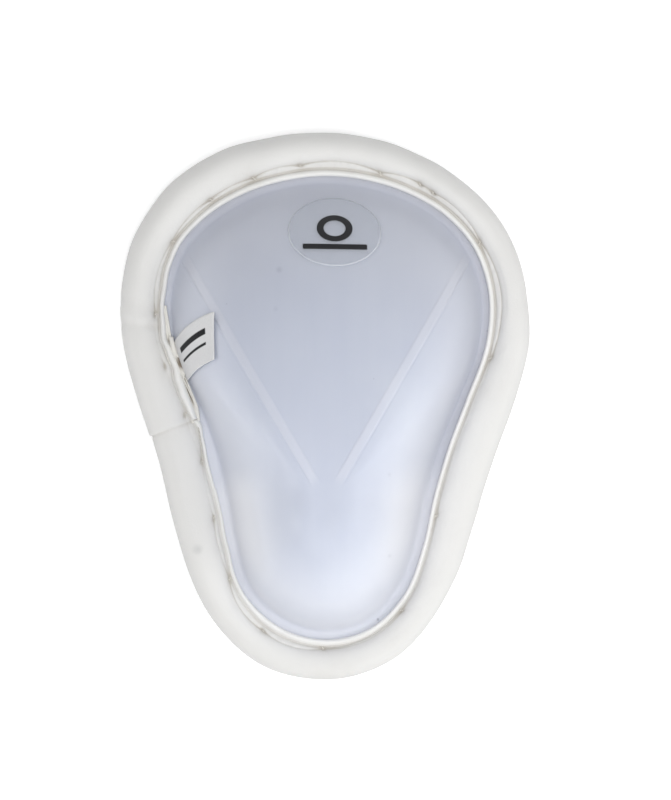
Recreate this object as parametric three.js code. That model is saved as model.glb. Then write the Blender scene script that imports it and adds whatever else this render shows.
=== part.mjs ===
// A junior cricket abdominal guard: a moulded plastic cup in a padded rim that is sewn on by hand.
//
// Lengths are in millimetres. +Z points out of the cup's nose and +Y to its broad end, which is
// worn uppermost. The guard lies on the flat underside of its rim, with the hollow facing down,
// and the origin is in the middle of that underside.

import * as THREE from 'three'

const { degToRad, lerp, smoothstep } = THREE.MathUtils

// The whole guard, seen from above
const overallLength = 150
const overallWidth = 112
const padBand = 12

// The padded rim. padBand above is its width from the lip, where the bare cup starts, outwards.
const padHeight = 12.4
const padInnerBulge = 1.2
const coverThickness = 1
const stitchLane = 2

// The moulded cup
const cupHeight = 46
const cupWall = 2
const flangeTop = 9
const flangeShow = 1.4
const filletRun = 2.4
const ridgeRound = 1.2
const ridgeSpread = 7

// The turned hem along the lip, and the end of the cover that lies under it at the join
const hemWidth = 2.2
const hemHeight = 1.5
const hemSide = 0.5
const hemArcSteps = 3
const flapThickness = 0.6
const flapCover = 1.6
const flapStepsPerStation = 2

// The size label that hangs out of the join, and the round sticker at the broad end
const tagThickness = 0.4
const tagRise = 33
const tagRows = 6
const tagColumns = 4
const stickerDiameter = 25.4
const stickerThickness = 0.3

// Every piece lies this far from the one that it touches
const clearance = 0.3

const openingHalfLength = overallLength / 2 - padBand
const openingHalfWidth = overallWidth / 2 - padBand

// The lip, from the broad end to the tail. Along is a share of the opening's half length, left
// and right are shares of its half width, and the pad columns are shares of the pad's band.
const lipRows = [
  { along: 1.002, left: 0, right: 0, padLeft: 1.01, padRight: 1.01 },
  { along: 0.98, left: 0.275, right: 0.27, padLeft: 1.05, padRight: 0.98 },
  { along: 0.922, left: 0.527, right: 0.52, padLeft: 1.13, padRight: 0.92 },
  { along: 0.825, left: 0.752, right: 0.745, padLeft: 1.13, padRight: 0.87 },
  { along: 0.686, left: 0.93, right: 0.916, padLeft: 1.03, padRight: 0.86 },
  { along: 0.492, left: 1.018, right: 1.007, padLeft: 0.975, padRight: 0.87 },
  { along: 0.27, left: 1, right: 0.989, padLeft: 0.97, padRight: 0.99 },
  { along: 0.032, left: 0.875, right: 0.868, padLeft: 1.06, padRight: 1.07 },
  { along: -0.175, left: 0.77, right: 0.757, padLeft: 1.08, padRight: 1.08 },
  { along: -0.389, left: 0.7, right: 0.668, padLeft: 1.07, padRight: 1.06 },
  { along: -0.603, left: 0.632, right: 0.6, padLeft: 1.01, padRight: 0.97 },
  { along: -0.817, left: 0.516, right: 0.482, padLeft: 0.93, padRight: 0.85 },
  { along: -0.965, left: 0.28, right: 0.268, padLeft: 0.97, padRight: 0.89 },
  { along: -1.014, left: 0, right: 0, padLeft: 0.925, padRight: 0.925 },
]
const ridgeRow = 4
const stationsPerRow = 2

// The cup, as shares: the nose's place down the length, how square its profile is at each end,
// how far the two ridges stand up, and where the bare wall would meet the flange in the fillet.
const noseAlong = -0.403
const fullnessAtTop = 2
const fullnessAtTail = 3
const ridgeLift = 0.03
const ridgeFadeIn = 0.5
const filletBite = 0.7
const wallRings = 9
const wallRingBias = 0.85
const filletRings = 3

// The flange's reach into the padding, and the padding's crest, as shares of the pad's band
const flangeReach = 0.62
const padCrest = 0.57
const padArcSteps = 4

// Places on the rim, as shares of the way round from the broad end, over the right side
const hemStart = 0.722
const hemEnd = 1.708
const flapStart = 0.712
const flapEnd = 0.79
const hemRamp = 0.02
const tagStart = 0.744
const tagEnd = 0.77

// Places on the cup, as shares of the opening's half width and half length
const tagFreeEdge = -0.69
const stickerAcross = 0.048
const stickerAlong = 0.751
const stickerRings = 3
const stickerSides = 24

// The lip's points in order: down the right side, then back up the left
function lipPoint(along, across, pad) {
  return { x: across * openingHalfWidth, y: along * openingHalfLength, pad: pad * padBand }
}
const lipPoints = [
  ...lipRows.map((row) => lipPoint(row.along, row.right, row.padRight)),
  ...lipRows.slice(1, -1).reverse().map((row) => lipPoint(row.along, -row.left, row.padLeft)),
]
const lipCurve = new THREE.CatmullRomCurve3(
  lipPoints.map(({ x, y }) => new THREE.Vector3(x, y, 0)),
  true,
)

// A station is one place on the lip, with the direction out of the cup and the local pad width
function station(share) {
  const round = share % 1
  const place = round * lipPoints.length
  const before = lipPoints[Math.floor(place)]
  const after = lipPoints[(Math.floor(place) + 1) % lipPoints.length]
  const along = lipCurve.getTangent(round)
  return {
    at: lipCurve.getPoint(round),
    out: new THREE.Vector3(-along.y, along.x, 0),
    band: lerp(before.pad, after.pad, smoothstep(place % 1, 0, 1)),
  }
}

function besideLip({ at, out }, distance, height) {
  return new THREE.Vector3(at.x + out.x * distance, at.y + out.y * distance, height)
}

const stationCount = lipPoints.length * stationsPerRow
const stations = Array.from({ length: stationCount }, (_, index) => station(index / stationCount))

// The toe is the line where the cup's fillet runs out into the flange. The cup is drawn on rays
// from its nose to the toe, and a bearing is a ray's angle from +Y, turning towards +X.
const nose = new THREE.Vector3(0, noseAlong * openingHalfLength, 0)

function ray(point) {
  return {
    bearing: Math.atan2(point.x - nose.x, point.y - nose.y),
    reach: Math.hypot(point.x - nose.x, point.y - nose.y),
  }
}

const toeSamples = 720
const toeRays = Array.from({ length: toeSamples }, (_, index) => {
  return ray(besideLip(station(index / toeSamples), -flangeShow, 0))
}).sort((first, second) => first.bearing - second.bearing)

function toeReachAt(bearing) {
  const found = toeRays.findIndex((sample) => sample.bearing > bearing)
  const after = toeRays[Math.max(found, 0)]
  const before = toeRays[(Math.max(found, 0) + toeSamples - 1) % toeSamples]
  const turn = 2 * Math.PI
  const gap = (after.bearing - before.bearing + turn) % turn
  const part = (bearing - before.bearing + turn) % turn
  return lerp(before.reach, after.reach, part / gap)
}

const ridgeBearings = [ridgeRow, lipPoints.length - ridgeRow].map((row) => {
  return ray(besideLip(station(row / lipPoints.length), -flangeShow, 0)).bearing
})

// A ridge stands up along its ray with a rounded crown and falls away to both sides
function ridgeAt(bearing, distance) {
  return ridgeBearings.reduce((total, ridge) => {
    const ahead = Math.cos(bearing - ridge) > 0
    const aside = ahead ? distance * Math.sin(bearing - ridge) : distance
    return total + Math.exp((ridgeRound - Math.hypot(aside, ridgeRound)) / ridgeSpread)
  }, 0)
}

function wallRise(bearing, wallReach, distance) {
  const share = distance / wallReach
  const fullness = lerp(fullnessAtTop, fullnessAtTail, (1 - Math.cos(bearing)) / 2)
  const crown = 1 + ridgeLift * ridgeAt(bearing, distance) * smoothstep(share, 0, ridgeFadeIn)
  return cupHeight * (1 - share ** fullness) * crown
}

// Height of the cup's outer face above the flange. The fillet starts on the wall with the wall's
// own slope and dies out flat at the toe.
function cupRise(bearing, toeReach, distance) {
  const wallReach = toeReach - filletBite * filletRun
  const filletStart = toeReach - filletRun
  if (distance <= filletStart) return wallRise(bearing, wallReach, distance)
  const step = 0.01
  const start = wallRise(bearing, wallReach, filletStart)
  const slope = (wallRise(bearing, wallReach, filletStart - step) - start) / step
  const left = Math.max(toeReach - distance, 0) / filletRun
  return start * left ** ((slope * filletRun) / start)
}

function cupHeightAt(x, y) {
  const { bearing, reach } = ray({ x, y })
  return flangeTop + cupRise(bearing, toeReachAt(bearing), reach)
}

function cupNormalAt(x, y) {
  const step = 0.05
  const acrossSlope = (cupHeightAt(x + step, y) - cupHeightAt(x - step, y)) / (2 * step)
  const alongSlope = (cupHeightAt(x, y + step) - cupHeightAt(x, y - step)) / (2 * step)
  return new THREE.Vector3(-acrossSlope, -alongSlope, 1).normalize()
}

// A point lifted off the cup's outer face, square to it
function offCup(x, y, lift) {
  const surface = new THREE.Vector3(x, y, cupHeightAt(x, y))
  return surface.addScaledVector(cupNormalAt(x, y), lift)
}

// Collects the triangles of one closed solid, with each face's corners anticlockwise from outside
class Skin {
  constructor() {
    this.corners = []
  }

  quad(first, second, third, fourth) {
    this.corners.push(first, second, third, first, third, fourth)
  }

  // Joins each loop of points to the next one
  loops(rows) {
    for (let row = 0; row + 1 < rows.length; row += 1) {
      rows[row].forEach((point, index) => {
        const next = (index + 1) % rows[row].length
        this.quad(point, rows[row][next], rows[row + 1][next], rows[row + 1][index])
      })
    }
  }

  // Closes a loop onto one point
  fan(tip, loop) {
    loop.forEach((point, index) => this.corners.push(tip, loop[(index + 1) % loop.length], point))
  }

  // Closes a loop whose second half runs back beside its first half
  endCap(loop) {
    const last = loop.length - 1
    for (let index = 0; index + 1 < loop.length / 2; index += 1) {
      this.quad(loop[index], loop[last - index], loop[last - index - 1], loop[index + 1])
    }
  }

  geometry() {
    const geometry = new THREE.BufferGeometry().setFromPoints(this.corners)
    geometry.computeVertexNormals()
    return geometry
  }
}

// A closed skin of loops between two tips, for the cup and the sticker
function tippedSolid(upperTip, upperLoops, lowerLoops, lowerTip) {
  const skin = new Skin()
  const rows = [...upperLoops, ...[...lowerLoops].reverse()]
  skin.loops(rows)
  skin.fan(upperTip, rows[0])
  skin.fan(lowerTip, [...rows[rows.length - 1]].reverse())
  return skin.geometry()
}

// A strip with two ends, for the hem, the flap and the label
function stripSolid(loops) {
  const skin = new Skin()
  skin.loops(loops)
  skin.endCap(loops[0])
  skin.endCap([...loops[loops.length - 1]].reverse())
  return skin.geometry()
}

// A ring that closes on itself, for the padding
function ringSolid(loops) {
  const skin = new Skin()
  skin.loops([...loops, loops[0]])
  return skin.geometry()
}

function steps(count) {
  return Array.from({ length: count + 1 }, (_, index) => index / count)
}

// The cup's rings of points, each as a height above the flange and a place on every ray
function cupRings() {
  const toes = stations.map((place) => besideLip(place, -flangeShow, 0))
  const ringAt = (distanceFrom) => toes.map((toe) => {
    const { bearing, reach } = ray(toe)
    const distance = distanceFrom(reach)
    return {
      x: nose.x + distance * Math.sin(bearing),
      y: nose.y + distance * Math.cos(bearing),
      z: flangeTop + cupRise(bearing, reach, distance),
    }
  })
  const wall = steps(wallRings).slice(1).map((share) => {
    return ringAt((reach) => (reach - filletRun) * share ** wallRingBias)
  })
  const fillet = steps(filletRings).slice(1).map((share) => {
    return ringAt((reach) => reach - filletRun * (1 - share))
  })
  return [...wall, ...fillet]
}

function cupShell() {
  const rings = cupRings()
  const outer = rings.map((ring) => ring.map(({ x, y, z }) => new THREE.Vector3(x, y, z)))
  const inner = outer.map((ring, row) => ring.map((point) => {
    const atToe = row === outer.length - 1
    const normal = atToe ? new THREE.Vector3(0, 0, 1) : cupNormalAt(point.x, point.y)
    return point.clone().addScaledVector(normal, -cupWall)
  }))
  const edge = (height) => stations.map((place) => {
    return besideLip(place, place.band * flangeReach, height)
  })
  outer.push(edge(flangeTop))
  inner.push(edge(flangeTop - cupWall))
  const top = new THREE.Vector3(nose.x, nose.y, flangeTop + cupHeight)
  const under = top.clone().setZ(top.z - cupWall)
  return tippedSolid(top, outer, inner, under)
}

// An arc of an ellipse in the padding's section, from one angle to another in degrees
function sectionArc(centre, halfWidth, halfHeight, from, to) {
  return steps(padArcSteps).map((share) => {
    const angle = degToRad(lerp(from, to, share))
    return {
      out: centre.out + halfWidth * Math.cos(angle),
      up: centre.up + halfHeight * Math.sin(angle),
    }
  })
}

// The padding's section: the cover starts in the stitch lane beside the hem, rolls over the foam
// and round to the flat underside, and comes back under the flange, which it grips in a slot
function padSection(band) {
  const slotTop = flangeTop + clearance
  const slotFloor = flangeTop - cupWall - clearance
  const slotDepth = band * flangeReach + clearance
  const lane = { out: hemWidth + clearance, up: slotTop + coverThickness }
  const crest = band * padCrest
  const waist = padHeight / 2
  const laneEnd = lane.out + stitchLane
  return [
    { out: lane.out, up: slotTop },
    lane,
    ...sectionArc({ out: crest, up: lane.up }, crest - laneEnd, padHeight - lane.up, 180, 90),
    ...sectionArc({ out: crest, up: waist }, band - crest, padHeight - waist, 90, 0).slice(1),
    ...sectionArc({ out: crest, up: waist }, band - crest, waist, 0, -90).slice(1),
    ...sectionArc({ out: -padInnerBulge / 2, up: slotFloor / 2 }, padInnerBulge, slotFloor / 2, 270, 90),
    { out: slotDepth, up: slotFloor },
    { out: slotDepth, up: slotTop },
  ]
}

function paddedRim() {
  return ringSolid(stations.map((place) => {
    return padSection(place.band).map(({ out, up }) => besideLip(place, out, up)).reverse()
  }))
}

// The hem climbs over the end of the cover that lies under it at the join
function faceHem() {
  const count = Math.round((hemEnd - hemStart) * stationCount)
  return stripSolid(steps(count).map((share) => {
    const round = lerp(hemStart, hemEnd, share)
    const climb = 1 - smoothstep(round, flapEnd, flapEnd + hemRamp)
    const base = flangeTop + clearance + climb * (flapThickness + clearance)
    const place = station(round)
    const across = steps(hemArcSteps).map((part) => ({
      out: hemWidth * (1 - Math.cos(part * Math.PI)) / 2,
      up: base + hemSide + (hemHeight - hemSide) * Math.sin(part * Math.PI),
    }))
    return [
      ...across.map(({ out, up }) => besideLip(place, out, up)),
      ...[...across].reverse().map(({ out }) => besideLip(place, out, base)),
    ].reverse()
  }))
}

function underFlap() {
  const count = Math.round((flapEnd - flapStart) * stationCount * flapStepsPerStation)
  const floor = flangeTop + clearance
  return stripSolid(steps(count).map((share) => {
    const place = station(lerp(flapStart, flapEnd, share))
    return [
      besideLip(place, flapCover, floor),
      besideLip(place, flapCover, floor + flapThickness),
      besideLip(place, -flangeShow, floor + flapThickness),
      besideLip(place, -flangeShow, floor),
    ]
  }))
}

// The label leaves the join in one direction, lies on the cup, and ends at an edge along Y
function sizeTag() {
  const slant = Math.tan(degToRad(tagRise))
  const freeEdge = tagFreeEdge * openingHalfWidth
  return stripSolid(steps(tagRows).map((down) => {
    const across = steps(tagColumns).map((share) => {
      const root = besideLip(station(lerp(tagStart, tagEnd, share)), -flangeShow - clearance, 0)
      const x = lerp(root.x, freeEdge, down)
      return { x, y: root.y + slant * (x - root.x) }
    })
    return [
      ...across.map(({ x, y }) => offCup(x, y, clearance + tagThickness)),
      ...[...across].reverse().map(({ x, y }) => offCup(x, y, clearance)),
    ].reverse()
  }))
}

// The sticker is round on the cup's sloping face, so it is shortened uphill when seen from above
function roundSticker() {
  const centre = { x: stickerAcross * openingHalfWidth, y: stickerAlong * openingHalfLength }
  const normal = cupNormalAt(centre.x, centre.y)
  const downhill = Math.atan2(normal.y, normal.x)
  const ring = (radius, lift) => steps(stickerSides).slice(1).map((share) => {
    const angle = -2 * Math.PI * share
    const down = radius * Math.cos(angle) * normal.z
    const aside = radius * Math.sin(angle)
    const x = centre.x + down * Math.cos(downhill) - aside * Math.sin(downhill)
    const y = centre.y + down * Math.sin(downhill) + aside * Math.cos(downhill)
    return offCup(x, y, lift)
  })
  const radii = steps(stickerRings).slice(1).map((share) => share * stickerDiameter / 2)
  return tippedSolid(
    offCup(centre.x, centre.y, clearance + stickerThickness),
    radii.map((radius) => ring(radius, clearance + stickerThickness)),
    radii.map((radius) => ring(radius, clearance)),
    offCup(centre.x, centre.y, clearance),
  )
}

function piece(name, geometry, look) {
  const mesh = new THREE.Mesh(geometry, new THREE.MeshStandardMaterial({ metalness: 0, ...look }))
  mesh.name = name
  return mesh
}

const guard = new THREE.Group()
guard.add(
  piece('cup_shell', cupShell(), { color: '#cfd5e2', roughness: 0.3 }),
  piece('padded_rim', paddedRim(), { color: '#eeecea', roughness: 0.55 }),
  piece('face_hem', faceHem(), { color: '#f2f1ee', roughness: 0.5 }),
  piece('under_flap', underFlap(), { color: '#e6e2d6', roughness: 0.7 }),
  piece('size_tag', sizeTag(), { color: '#e2e2e2', roughness: 0.9 }),
  piece('round_sticker', roundSticker(), { color: '#dfe5ee', roughness: 0.15 }),
)

// The origin goes to the middle of the underside
const extent = new THREE.Box3().setFromObject(guard)
const middle = extent.getCenter(new THREE.Vector3())
guard.position.set(-middle.x, -middle.y, -extent.min.z)

export default guard
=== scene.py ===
# %% [markdown]
# # A junior cricket abdominal guard
# The real guard has two main parts. A cup of milky plastic is moulded in one shot, and a strip of
# foam in white leatherette is wrapped round its edge and sewn on by hand. What makes it look real
# is the sewing: the cover puckers at every stitch and folds into small lenses between them.
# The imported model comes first, because every piece here takes its place from it.

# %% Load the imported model
import math

import bmesh
import bpy
import numpy as np
from mathutils import Matrix, Vector, noise

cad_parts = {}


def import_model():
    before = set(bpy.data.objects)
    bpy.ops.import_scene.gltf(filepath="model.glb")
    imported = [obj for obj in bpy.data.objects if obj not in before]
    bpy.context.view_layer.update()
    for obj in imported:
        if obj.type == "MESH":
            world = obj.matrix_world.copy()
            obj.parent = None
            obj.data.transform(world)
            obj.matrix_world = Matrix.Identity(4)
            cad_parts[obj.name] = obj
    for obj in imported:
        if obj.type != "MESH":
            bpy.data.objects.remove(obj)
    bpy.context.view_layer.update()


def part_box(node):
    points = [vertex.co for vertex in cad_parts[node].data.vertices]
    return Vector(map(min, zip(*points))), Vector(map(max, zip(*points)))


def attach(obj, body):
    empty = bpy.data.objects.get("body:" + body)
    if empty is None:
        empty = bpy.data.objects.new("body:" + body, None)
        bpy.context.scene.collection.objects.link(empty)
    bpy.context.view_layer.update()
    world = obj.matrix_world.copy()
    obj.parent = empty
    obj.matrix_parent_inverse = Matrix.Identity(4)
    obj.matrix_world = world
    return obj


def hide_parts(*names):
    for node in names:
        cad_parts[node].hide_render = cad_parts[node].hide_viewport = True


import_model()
MM = 0.001

# %% [markdown]
# ## The line that everything follows
# The lip is the line where the bare cup meets the hem. The hem, the padding, the stitches and the
# cup's flange all run along it, so it is drawn once, as a smooth closed curve through measured
# points. A centripetal curve is used because it makes no loops where the points lie close
# together. A share of the way round starts at the broad end and goes down the right side first.

# %% The lip
OPENING_LENGTH = 126
OPENING_WIDTH = 88
PAD_BAND = 12

# along, left and right are shares of the opening's half sizes; the pads are shares of PAD_BAND
LIP_ROWS = np.array([
    # along, left, right, pad_left, pad_right
    (1.002, 0, 0, 1.01, 1.01), (0.98, 0.275, 0.27, 1.05, 0.98),
    (0.922, 0.527, 0.52, 1.13, 0.92), (0.825, 0.752, 0.745, 1.13, 0.87),
    (0.686, 0.93, 0.916, 1.03, 0.86), (0.492, 1.018, 1.007, 0.975, 0.87),
    (0.27, 1, 0.989, 0.97, 0.99), (0.032, 0.875, 0.868, 1.06, 1.07),
    (-0.175, 0.77, 0.757, 1.08, 1.08), (-0.389, 0.7, 0.668, 1.07, 1.06),
    (-0.603, 0.632, 0.6, 1.01, 0.97), (-0.817, 0.516, 0.482, 0.93, 0.85),
    (-0.965, 0.28, 0.268, 0.97, 0.89), (-1.014, 0, 0, 0.925, 0.925),
])
RIDGE_ROW = 4


def lip_points():
    along, left, right, pad_left, pad_right = LIP_ROWS.T
    down_right = np.stack([right, along, pad_right], axis=1)
    up_left = np.stack([-left, along, pad_left], axis=1)[-2:0:-1]
    return np.vstack([down_right, up_left]) * (OPENING_WIDTH / 2, OPENING_LENGTH / 2, PAD_BAND)


LIP = lip_points()


def lip_at(share):
    """The lip's x and y in mm at shares of the way round."""
    place = np.mod(share, 1) * len(LIP)
    row = np.floor(place).astype(int)
    part = (place - row)[..., None]
    before, start, end, after = (LIP[(row + step) % len(LIP), :2] for step in (-1, 0, 1, 2))

    def gap(first, second):
        return np.sqrt(np.linalg.norm(second - first, axis=-1, keepdims=True))

    gap_in, gap_on, gap_out = gap(before, start), gap(start, end), gap(end, after)
    turn = (start - before) / gap_in - (end - before) / (gap_in + gap_on) + (end - start) / gap_on
    leave = (end - start) / gap_on - (after - start) / (gap_on + gap_out) + (after - end) / gap_out
    turn, leave = turn * gap_on, leave * gap_on
    bend = -3 * start + 3 * end - 2 * turn - leave
    twist = 2 * start - 2 * end + turn + leave
    return start + turn * part + bend * part ** 2 + twist * part ** 3


def ease(value, low=0.0, high=1.0):
    part = np.clip((value - low) / (high - low), 0, 1)
    return part * part * (3 - 2 * part)


def out_of_cup(share):
    """The direction out of the cup, square to the lip."""
    small = 1e-4
    along = lip_at(share + small) - lip_at(share - small)
    out = np.stack([-along[..., 1], along[..., 0]], axis=-1)
    return out / np.linalg.norm(out, axis=-1, keepdims=True)


def band_at(share):
    place = np.mod(share, 1) * len(LIP)
    row = np.floor(place).astype(int)
    part = ease(place - row)
    return LIP[row % len(LIP), 2] * (1 - part) + LIP[(row + 1) % len(LIP), 2] * part


def beside_lip(share, out):
    """x and y in mm of points that lie out from the lip."""
    share, out = np.broadcast_arrays(share, out)
    return lip_at(share) + out_of_cup(share) * out[..., None]


ALL_ROUND = np.linspace(0, 1, 4096, endpoint=False)
LIP_LENGTH = np.linalg.norm(np.diff(lip_at(np.append(ALL_ROUND, 1)), axis=0), axis=1).sum()

# The curve is drawn about the cup's own axis, and the CAD model is centred on its box
rim_edge = beside_lip(ALL_ROUND, band_at(ALL_ROUND))
rim_low, rim_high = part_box("padded_rim")
SHIFT = np.array((rim_low + rim_high)[:2]) / 2 / MM - (rim_edge.min(0) + rim_edge.max(0)) / 2
print(f"lip {LIP_LENGTH:.1f} mm long, moved by {SHIFT.round(3)} mm onto the CAD model")


def world(flat, height):
    """Places in metres from x and y in mm and a height in mm."""
    height = np.broadcast_to(height, flat.shape[:-1])
    return np.concatenate([flat + SHIFT, height[..., None]], axis=-1) * MM


# %% [markdown]
# ## Camera, floor and light
# The photograph is a catalogue picture taken from straight above with a long lens, on white. A
# long lens keeps the tall nose from swelling, so the camera stands far off. The light is soft.
# Most of it comes from overhead, from below and from the right in the picture, so the slopes of
# the broad end are a little darker, and a low lamp at either side leaves its own pale highlight.

# %% Camera
# The photograph and the middle of the guard in it are in pixels from the upper left corner. The
# scale of the photograph holds at one height in mm, near the top of the rim.
PHOTO_WIDTH, PHOTO_HEIGHT = 671, 800
GUARD_MIDDLE = (326.9, 406.5)
PIXELS_PER_MM = 547 / 150
SCALE_HEIGHT = 9
CAMERA_DISTANCE = 1.5
SENSOR = 36

camera_data = bpy.data.cameras.new("camera")
camera_data.sensor_fit = "VERTICAL"
camera_data.sensor_height = SENSOR
camera_data.lens = SENSOR * CAMERA_DISTANCE / (PHOTO_HEIGHT / PIXELS_PER_MM * MM)
camera_data.clip_end = 10
camera = bpy.data.objects.new("camera", camera_data)
bpy.context.scene.collection.objects.link(camera)
frame_middle = np.array((PHOTO_WIDTH / 2 - GUARD_MIDDLE[0],
                         GUARD_MIDDLE[1] - PHOTO_HEIGHT / 2)) / PIXELS_PER_MM
camera.location = Vector(world(frame_middle, SCALE_HEIGHT)) + Vector((0, 0, CAMERA_DISTANCE))
bpy.context.scene.camera = camera
print(f"lens {camera_data.lens:.0f} mm at {CAMERA_DISTANCE} m")

# %% Light
# A lamp marked as seen leaves its own highlight on the plastic; the others only light it
SKY_TONE, SKY_STRENGTH = (0.95, 0.97, 1, 1), 0.19
LIGHTS = [
    # name, place in m, width, height, watts, seen
    ("overhead", (0, 0, 1.0), 0.7, 0.7, 6.0, False),
    ("below", (0, -0.75, 0.75), 0.45, 0.45, 1.9, False),
    ("below_low", (0, -1.0, 0.22), 0.35, 0.35, 0.95, False),
    ("right", (0.7, -0.35, 0.7), 0.45, 0.45, 2.8, False),
    ("right_low", (0.95, -0.17, 0.24), 0.26, 0.7, 1.0, True),
    ("left_low", (-0.95, -0.2, 0.2), 0.26, 0.7, 1.4, True),
    ("above", (0, 0.75, 0.75), 0.45, 0.45, 0.6, False),
]
for name, place, width, height, watts, seen in LIGHTS:
    lamp = bpy.data.lights.new(name, "AREA")
    lamp.shape = "RECTANGLE"
    lamp.size, lamp.size_y = width, height
    lamp.energy = watts
    light = bpy.data.objects.new(name, lamp)
    light.location = place
    light.rotation_euler = (-Vector(place)).to_track_quat("-Z", "Y").to_euler()
    light.visible_glossy = seen
    bpy.context.scene.collection.objects.link(light)

sky = bpy.data.worlds.new("studio")
sky.use_nodes = True
background = sky.node_tree.nodes["Background"]
background.inputs["Color"].default_value = SKY_TONE
background.inputs["Strength"].default_value = SKY_STRENGTH
bpy.context.scene.world = sky
bpy.context.scene.view_settings.view_transform = "Standard"

# %% [markdown]
# ## Writing finishes as sums
# A finish is a small tree of nodes. Wired by hand it is hard to read, so a Wire stands for one
# output, and adding or multiplying two of them adds the Math node that does it. Every other node
# comes from one method, which sets the node up and then fills its inputs.

# %% Wires and finishes
class Wire:
    def __init__(self, finish, socket):
        self.finish = finish
        self.socket = socket

    def maths(self, operation, *values):
        return self.finish.node("ShaderNodeMath", {"operation": operation}, *values)

    def __add__(self, other):
        return self.maths("ADD", self, other)

    def __sub__(self, other):
        return self.maths("SUBTRACT", self, other)

    def __rsub__(self, other):
        return self.maths("SUBTRACT", other, self)

    def __mul__(self, other):
        return self.maths("MULTIPLY", self, other)

    def __abs__(self):
        return self.maths("ABSOLUTE", self)

    def __pow__(self, other):
        return self.maths("POWER", self, other)

    def wave(self):
        return self.maths("SINE", self)

    __radd__ = __add__

    def smooth(self, low, high):
        """0 below low, 1 above high, and a soft step between them."""
        settings = {"interpolation_type": "SMOOTHSTEP"}
        return self.finish.node("ShaderNodeMapRange", settings, self, low, high, 0.0, 1.0)


class Finish:
    """A material whose nodes are added one by one."""

    def __init__(self, name, **constants):
        self.material = bpy.data.materials.new(name)
        self.material.use_nodes = True
        self.tree = self.material.node_tree
        self.shader = self.tree.nodes["Principled BSDF"]
        for socket, value in constants.items():
            self.shader.inputs[socket.replace("_", " ")].default_value = value

    def fill(self, socket, value):
        if isinstance(value, Wire):
            self.tree.links.new(value.socket, socket)
        elif hasattr(value, "__len__") and len(value) == 3 and socket.type == "RGBA":
            socket.default_value = (*value, 1)
        else:
            socket.default_value = value

    def node(self, kind, settings, *values, output=0, **named):
        made = self.tree.nodes.new(kind)
        for setting, value in settings.items():
            setattr(made, setting, value)
        open_inputs = [socket for socket in made.inputs if socket.enabled]
        for socket, value in zip(open_inputs, values):
            self.fill(socket, value)
        for socket, value in named.items():
            self.fill(made.inputs[socket.replace("_", " ")], value)
        return Wire(self, [socket for socket in made.outputs if socket.enabled][output])

    def place(self):
        return self.node("ShaderNodeTexCoord", {}, output=3)

    def parts(self, vector):
        """The x, y and z of a vector."""
        x = self.node("ShaderNodeSeparateXYZ", {}, vector)
        sockets = x.socket.node.outputs
        return x, Wire(self, sockets[1]), Wire(self, sockets[2])

    def vector(self, operation, *values):
        """Vector maths, with the answer in its first open output."""
        return self.node("ShaderNodeVectorMath", {"operation": operation}, *values)

    def grain(self, place, scale, detail=2.0, roughness=0.5):
        return self.node("ShaderNodeTexNoise", {}, place, Scale=scale, Detail=detail,
                         Roughness=roughness)

    def blend(self, factor, first, second):
        return self.node("ShaderNodeMix", {"data_type": "RGBA"}, factor, first, second)

    def attribute(self, name):
        return self.node("ShaderNodeAttribute", {"attribute_name": name}, output=2)

    def bump(self, height, strength=1.0):
        """A normal from a height in metres."""
        return self.node("ShaderNodeBump", {}, Strength=strength, Distance=1.0, Height=height)

    def wear(self, **varying):
        """Joins what varies over the surface to the shader."""
        for socket, value in varying.items():
            self.fill(self.shader.inputs[socket.replace("_", " ")], value)

    def on(self, piece):
        piece.data.materials.clear()
        piece.data.materials.append(self.material)


def span(x, y):
    """How far apart two places are whose steps across and along are the wires x and y."""
    return (x ** 2.0 + y ** 2.0) ** 0.5


# %% Floor
# A sheet of white acrylic with a lamp under it: shadows on it stay very faint. It lies a hair
# below the guard, so that the two never share a plane.
FLOOR_GLOW = 0.3
FLOOR_DROP = 0.3
floor_finish = Finish("pale_floor", Roughness=0.9, Emission_Color=(1, 1, 1, 1),
                      Emission_Strength=FLOOR_GLOW)
floor_speckle = floor_finish.grain(floor_finish.place(), 90.0, detail=3.0)
floor_finish.wear(
    Base_Color=floor_finish.blend(floor_speckle, (0.96, 0.96, 0.96), (0.98, 0.98, 0.98))
)
floor_bm = bmesh.new()
bmesh.ops.create_grid(floor_bm, x_segments=1, y_segments=1, size=2)
floor_mesh = bpy.data.meshes.new("floor")
floor_bm.to_mesh(floor_mesh)
floor_bm.free()
floor_mesh.transform(Matrix.Translation((0, 0, -FLOOR_DROP * MM)))
floor = bpy.data.objects.new("floor", floor_mesh)
bpy.context.scene.collection.objects.link(floor)
floor_finish.on(floor)

# %% [markdown]
# ## Laying a grid over a form
# The cup, the padding and the trims are all swept along the lip. A flat grid from bmesh is laid
# over each of them: its rows follow the section and its columns follow the lip. Where the first
# and the last column meet, or where a row shrinks to a point, the doubles are merged.

# %% Laying a grid
MERGE = 1e-7


def lay_grid(points, **measures):
    """A bmesh grid whose points lie at a table of rows and columns of places."""
    rows, columns = points.shape[:2]
    bm = bmesh.new()
    bmesh.ops.create_grid(bm, x_segments=columns - 1, y_segments=rows - 1, size=0.5)
    for vert, place in zip(bm.verts, points.reshape(-1, 3)):
        vert.co = place
    for name, values in measures.items():
        layer = bm.verts.layers.float.new(name)
        flat = np.broadcast_to(values, (rows, columns)).reshape(-1)
        for vert, value in zip(bm.verts, flat):
            vert[layer] = value
    return bm


def face_up(bm):
    """Turns the faces of an open sheet so that they look up."""
    bmesh.ops.recalc_face_normals(bm, faces=bm.faces)
    if sum(face.normal.z for face in bm.faces) < 0:
        bmesh.ops.reverse_faces(bm, faces=bm.faces)


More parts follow.
